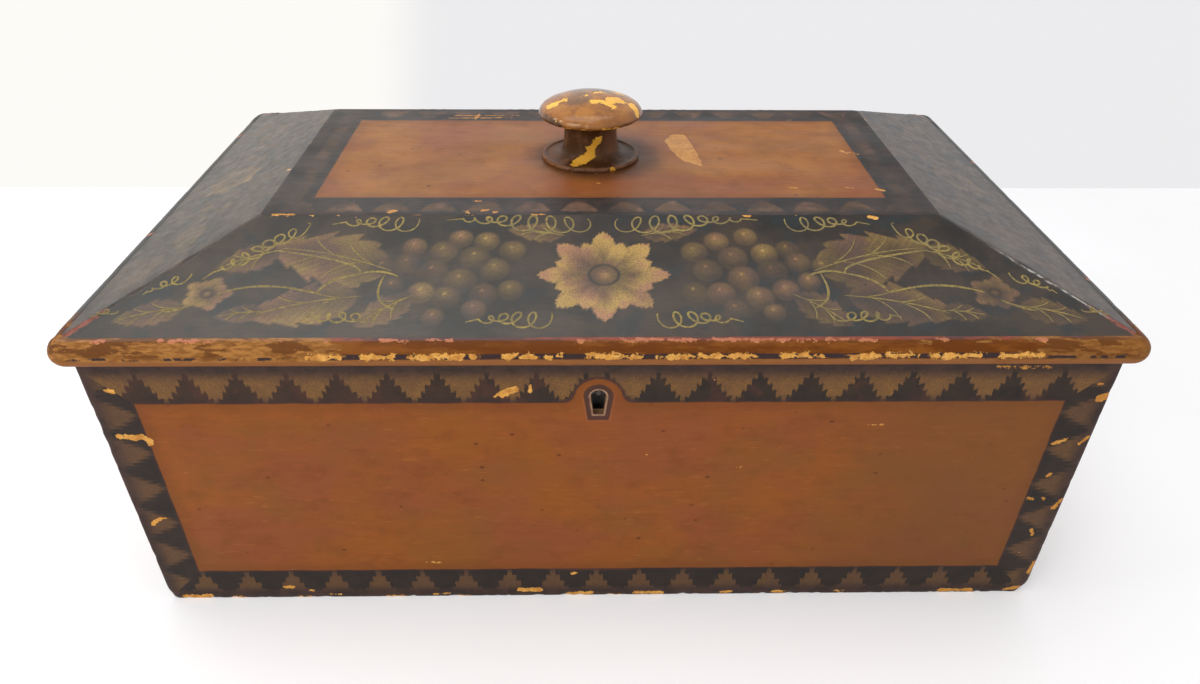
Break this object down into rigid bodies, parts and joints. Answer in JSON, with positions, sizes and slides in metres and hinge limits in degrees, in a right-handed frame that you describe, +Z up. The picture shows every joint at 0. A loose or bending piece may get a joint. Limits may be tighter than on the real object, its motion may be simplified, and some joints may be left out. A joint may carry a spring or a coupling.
{
  "type": "stationery box",
  "caption": "Painted wooden box with slightly tapered sides, a hipped overhanging lid on butt hinges, a turned knob and a box lock, for papers and keepsakes.",
  "frame": {"origin": "middle of the underside of the case, on the surface it stands on", "axes": "+Z up, front with the keyhole faces -Y, +X to the right seen from the front"},
  "size_m": [0.329, 0.214, 0.1555],
  "materials": {
    "painted_case": "worn orange-brown paint with a dark stencilled border, satin",
    "painted_slope": "near-black paint with bronze and gold decoration, satin",
    "painted_top": "orange-brown panel with a dark border, satin",
    "worn_edge": "orange-brown paint worn to ochre wood on the edge, satin",
    "painted_knob": "brown paint with losses to ochre, satin",
    "bare_pine": "aged bare pine, matt",
    "escutcheon_brass": "tarnished",
    "hinge_brass": "aged",
    "lock_iron": "dull",
    "spring_steel": "dull",
    "iron": "dull"
  },
  "bodies": {
    "case": {"front_board": "painted_case", "back_board": "painted_case", "left_end_board": "painted_case", "right_end_board": "painted_case", "bottom_board": "bare_pine", "bottom_brads": "iron", "keyhole_escutcheon": "escutcheon_brass", "lock_plate": "lock_iron", "lock_case": "lock_iron", "lock_drill_pin": "lock_iron", "lock_spring": "spring_steel", "lock_screws": "iron", "left_hinge_case_leaf": "hinge_brass", "left_hinge_pin": "iron", "left_hinge_case_screws": "iron", "right_hinge_case_leaf": "hinge_brass", "right_hinge_pin": "iron", "right_hinge_case_screws": "iron"},
    "lid": {"lid_edge_front": "worn_edge", "lid_slope_front": "painted_slope", "lid_edge_back": "worn_edge", "lid_slope_back": "painted_slope", "lid_edge_left": "worn_edge", "lid_slope_left": "painted_slope", "lid_edge_right": "worn_edge", "lid_slope_right": "painted_slope", "lid_top_panel": "painted_top", "lid_knob": "painted_knob", "link_plate": "lock_iron", "link_plate_screws": "iron", "left_hinge_lid_leaf": "hinge_brass", "left_hinge_lid_screws": "iron", "right_hinge_lid_leaf": "hinge_brass", "right_hinge_lid_screws": "iron"},
    "lock_bolt": {"lock_bolt": "lock_iron"}
  },
  "joints": [
    {"name": "lid_hinge", "type": "hinge", "parent": "case", "child": "lid", "pos_m": [0, 0.1015, 0.104], "axis": [-1, 0, 0], "range_deg": [0, 92]},
    {"name": "lock_bolt_slide", "type": "slide", "parent": "case", "child": "lock_bolt", "axis": [1, 0, 0], "range_m": [0, 0.0045]}
  ]
}
